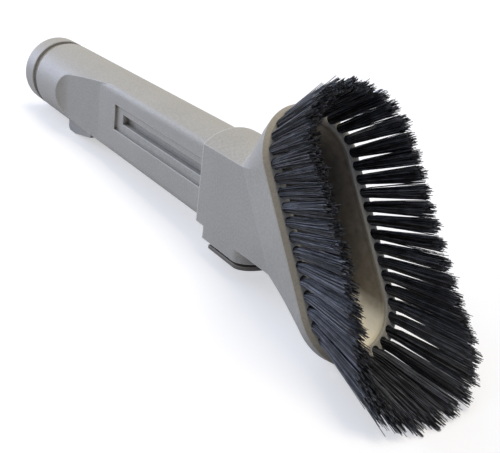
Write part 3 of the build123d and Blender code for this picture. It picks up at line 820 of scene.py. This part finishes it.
def bent_lines(tree, given, stored):
    """A line for each point, bent into its filament, and how thick it stays along itself."""
    line = add_node(tree, "GeometryNodeCurvePrimitiveLine", End=(0, 0, 1))
    fine_line = add_node(tree, "GeometryNodeResampleCurve", Curve=line, Count=LINE_POINTS)
    lines = add_node(tree, "GeometryNodeInstanceOnPoints", Points=stored, Instance=fine_line)
    loose = add_node(tree, "GeometryNodeRealizeInstances", Geometry=lines)
    value = dict(given.items())
    value["share"] = add_node(tree, "GeometryNodeSplineParameter").outputs["Factor"]
    for name in ("lean", "spread", "disc", "drift", "short"):
        value[name] = add_node(
            tree, "GeometryNodeInputNamedAttribute", {"data_type": REMEMBERED[name]}, Name=name,
        ).outputs["Attribute"]
    for name, operation, *terms in (
        ("cut off", "MULTIPLY", "Ragged", "short"),
        ("uncut length", "ADD", "Height", "Root depth"),
        ("length", "SUBTRACT", "uncut length", "cut off"),
        ("start", "MULTIPLY", "Root depth", -1.0),
        ("height", "MULTIPLY_ADD", "share", "length", "start"),
        ("above", "MAXIMUM", "height", 0.0),
        ("part", "DIVIDE", "above", "Height"),
        ("opening", "POWER", "part", OPENS_EARLY),
        ("own tip radius", "MULTIPLY", "Tip radius", "spread"),
        ("growth", "SUBTRACT", "own tip radius", "Root radius"),
        ("radius", "MULTIPLY_ADD", "opening", "growth", "Root radius"),
        ("part squared", "POWER", "part", 2.0),
        ("bend", "MULTIPLY", "Wander", "part squared"),
        ("rise", "SUBTRACT", "height", "share"),
        ("part cubed", "POWER", "part", 3.0),
        ("thinning", "MULTIPLY", "part cubed", TIP_THINNING),
        ("thickness", "SUBTRACT", 1.0, "thinning"),
    ):
        sockets = {socket: value.get(term, term) for socket, term in zip(SUM_SOCKETS, terms)}
        value[name] = add_node(tree, "ShaderNodeMath", {"operation": operation}, **sockets)
    shifts = [
        add_node(
            tree, "ShaderNodeVectorMath", {"operation": "SCALE"},
            Vector=value[way], Scale=value[amount],
        )
        for way, amount in (("lean", "above"), ("disc", "radius"), ("drift", "bend"))
    ]
    shifts.append(add_node(tree, "ShaderNodeCombineXYZ", Z=value["rise"]))
    offset = shifts[0]
    for shift in shifts[1:]:
        offset = add_node(
            tree, "ShaderNodeVectorMath", {"operation": "ADD"}, Vector=offset, Vector_001=shift,
        )
    bent = add_node(tree, "GeometryNodeSetPosition", Geometry=loose, Offset=offset)
    return bent, value["thickness"]


print("each filament is bent at", LINE_POINTS, "points")

# %% [markdown]
# The whole tree has a named input for every size. It puts a small triangle round each
# bent line, which is round enough for a filament thinner than a pixel, and it ends in
# real faces with their material, because the export drops instances.

# %% The tree that grows filaments
FILAMENT_SIDES = 3
TREE_INPUTS = {
    "Tufts": "NodeSocketGeometry", "Filaments per tuft": "NodeSocketInt",
    "Root radius": "NodeSocketFloat", "Tip radius": "NodeSocketFloat",
    "Root depth": "NodeSocketFloat", "Height": "NodeSocketFloat",
    "Ragged": "NodeSocketFloat", "Wander": "NodeSocketFloat",
    "Filament radius": "NodeSocketFloat", "Seed": "NodeSocketInt",
    "Material": "NodeSocketMaterial",
}


def filament_tree():
    """A node tree that turns the points of the tufts into bent, tapered filaments."""
    tree = bpy.data.node_groups.new("filaments", "GeometryNodeTree")
    for name, kind in TREE_INPUTS.items():
        tree.interface.new_socket(name, in_out="INPUT", socket_type=kind)
    tree.interface.new_socket("Filaments", in_out="OUTPUT", socket_type="NodeSocketGeometry")
    given = add_node(tree, "NodeGroupInput").outputs
    bent, thickness = bent_lines(tree, given, scattered_filaments(tree, given))
    profile = add_node(
        tree, "GeometryNodeCurvePrimitiveCircle",
        Resolution=FILAMENT_SIDES, Radius=given["Filament radius"],
    )
    tubes = add_node(
        tree, "GeometryNodeCurveToMesh",
        Curve=bent, Profile_Curve=profile, Scale=thickness, Fill_Caps=True,
    )
    smooth = add_node(tree, "GeometryNodeSetShadeSmooth", Geometry=tubes, Shade_Smooth=True)
    real = add_node(tree, "GeometryNodeRealizeInstances", Geometry=smooth)
    coloured = add_node(
        tree, "GeometryNodeSetMaterial", Geometry=real, Material=given["Material"],
    )
    add_node(tree, "NodeGroupOutput", Filaments=coloured)
    return tree


grow = filament_tree()
print("nodes in the filament tree:", len(grow.nodes))

# %% [markdown]
# Nylon monofilament is extruded, so it is smooth and takes a long thin highlight. Some
# filaments are also painted a cold blue grey, as a painted sheen. Two materials could do
# that, but one that reads the tone that each filament remembers is enough.


# %% Extruded black nylon
def black_nylon():
    """Black nylon monofilament, with a cold sheen painted on some filaments."""
    BLACK, PAINTED_SHEEN = "#06070A", "#878A94"
    NO_SHEEN, FULL_SHEEN = 0.035, 0.3
    NYLON_ROUGHNESS = 0.32
    NYLON_IOR = 1.53
    DUST_SIZE = 3 * MM
    material, tree = new_material("extruded_black_nylon")
    # The tone and a noise choose where the painted sheen lightens the black.
    tone = add_node(tree, "ShaderNodeAttribute", {"attribute_name": "tone"})
    place = add_node(tree, "ShaderNodeTexCoord").outputs["Object"]
    dust = add_node(tree, "ShaderNodeTexNoise", Vector=place, Scale=1 / DUST_SIZE, Detail=2.0)
    mixed = add_node(
        tree, "ShaderNodeMath", {"operation": "MULTIPLY"},
        Value=tone.outputs["Fac"], Value_001=dust.outputs["Fac"],
    )
    lit = add_node(tree, "ShaderNodeMapRange", Value=mixed, From_Min=NO_SHEEN, From_Max=FULL_SHEEN)
    shade = add_node(
        tree, "ShaderNodeMix", {"data_type": "RGBA"},
        Factor_Float=lit, A_Color=light_of(BLACK), B_Color=light_of(PAINTED_SHEEN),
    )
    surface = add_node(
        tree, "ShaderNodeBsdfPrincipled",
        Base_Color=shade.outputs["Result"], Roughness=NYLON_ROUGHNESS, IOR=NYLON_IOR,
    )
    add_node(tree, "ShaderNodeOutputMaterial", Surface=surface)
    return material


nylon = black_nylon()
print("bristle material:", nylon.name)

# %% [markdown]
# The points go in as a mesh with one vertex for each tuft, laid out in the plane of
# the mouth. The tree runs once, its result is kept as a plain mesh, and only then is
# that mesh turned into the mouth's real place. The bristles ride with the head. They
# are kept in two pieces, one for each side, and each stands for its own side's tufts.


# %% Grow the bristles
def tuft_points(name, points):
    """An object that holds the tufts' places in the mouth's plane, their slopes and spread."""
    mesh = bpy.data.meshes.new(name)
    mesh.from_pydata([(along, across, 0) for along, across in points], [], [])
    mesh.attributes.new("lean", "FLOAT_VECTOR", "POINT")
    mesh.attributes.new("spread", "FLOAT", "POINT")
    leans = mesh.attributes["lean"].data
    spreads = mesh.attributes["spread"].data
    for number, (along, across) in enumerate(points):
        leans[number].vector = (*tuft_slope(along, across), 0)
        spreads[number].value = tuft_spread(along, across)
    made = bpy.data.objects.new(name, mesh)
    scene.collection.objects.link(made)
    return made


def grown(source, sizes):
    """A plain mesh of the filaments that the tree grows on a source's points."""
    modifier = source.modifiers.new("grow", "NODES")
    modifier.node_group = grow
    for item in grow.interface.items_tree:
        if item.in_out == "INPUT" and item.name in sizes:
            modifier[item.identifier] = sizes[item.name]
    evaluated = source.evaluated_get(bpy.context.evaluated_depsgraph_get())
    mesh = bpy.data.meshes.new_from_object(evaluated)
    source.modifiers.remove(modifier)
    bpy.data.objects.remove(source)
    mesh.transform(mouth_frame)
    return mesh


FILAMENT_SIZES = {
    "Filaments per tuft": 170, "Root radius": 1.55 * MM, "Tip radius": 2.6 * MM,
    "Root depth": 1.5 * MM, "Height": TRIM_HEIGHT, "Ragged": 2.2 * MM, "Wander": 0.8 * MM,
    "Filament radius": 0.14 * MM, "Seed": 7, "Material": nylon,
}


def bristle_piece(name, chosen, sizes, replaced):
    """Bristles on the chosen tufts, as one piece that rides with the head."""
    mesh = grown(tuft_points(name, chosen), sizes)
    mesh.name = name
    piece = bpy.data.objects.new(name, mesh)
    scene.collection.objects.link(piece)
    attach(piece, "brush")
    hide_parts(*replaced)
    mesh.calc_loop_triangles()
    print(name, "on", len(chosen), "tufts, triangles:", len(mesh.loop_triangles))
    return piece


# The lowest tuft stands on the middle line, and it is counted with the far side.
NEAR_SIDE = -1 * MM
middles = {name: sum(corner[1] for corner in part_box(name)) / 2 for name in tuft_names}
far_places = [place for place in places if place[1] > NEAR_SIDE]
near_places = [place for place in places if place[1] <= NEAR_SIDE]
far_names = [name for name in tuft_names if middles[name] > NEAR_SIDE]
near_names = [name for name in tuft_names if middles[name] <= NEAR_SIDE]
bristle_piece("bristles_far_side", far_places, FILAMENT_SIZES, far_names)
bristle_piece("bristles_near_side", near_places, FILAMENT_SIZES, near_names)

# %% [markdown]
# A used brush always has a few bristles that were bent out of line. They are the same
# filaments, grown a few at a time and wider, on three tufts of the near side. They
# stand among the others, so they replace nothing.

# %% A few stray bristles
STRAY_TUFTS = (26, 38, 40)
STRAY_SIZES = {
    **FILAMENT_SIZES, "Filaments per tuft": 7, "Tip radius": 4.2 * MM,
    "Height": TRIM_HEIGHT + 1.5 * MM, "Wander": 1.6 * MM, "Seed": 21,
}
bristle_piece("stray_bristles", [places[index] for index in STRAY_TUFTS], STRAY_SIZES, [])

# %% [markdown]
# Last, the size of the solid model is printed.

# %% Print the solid model's size
print("solid model", [round(value / MM, 1) for corner in cad_box for value in corner])
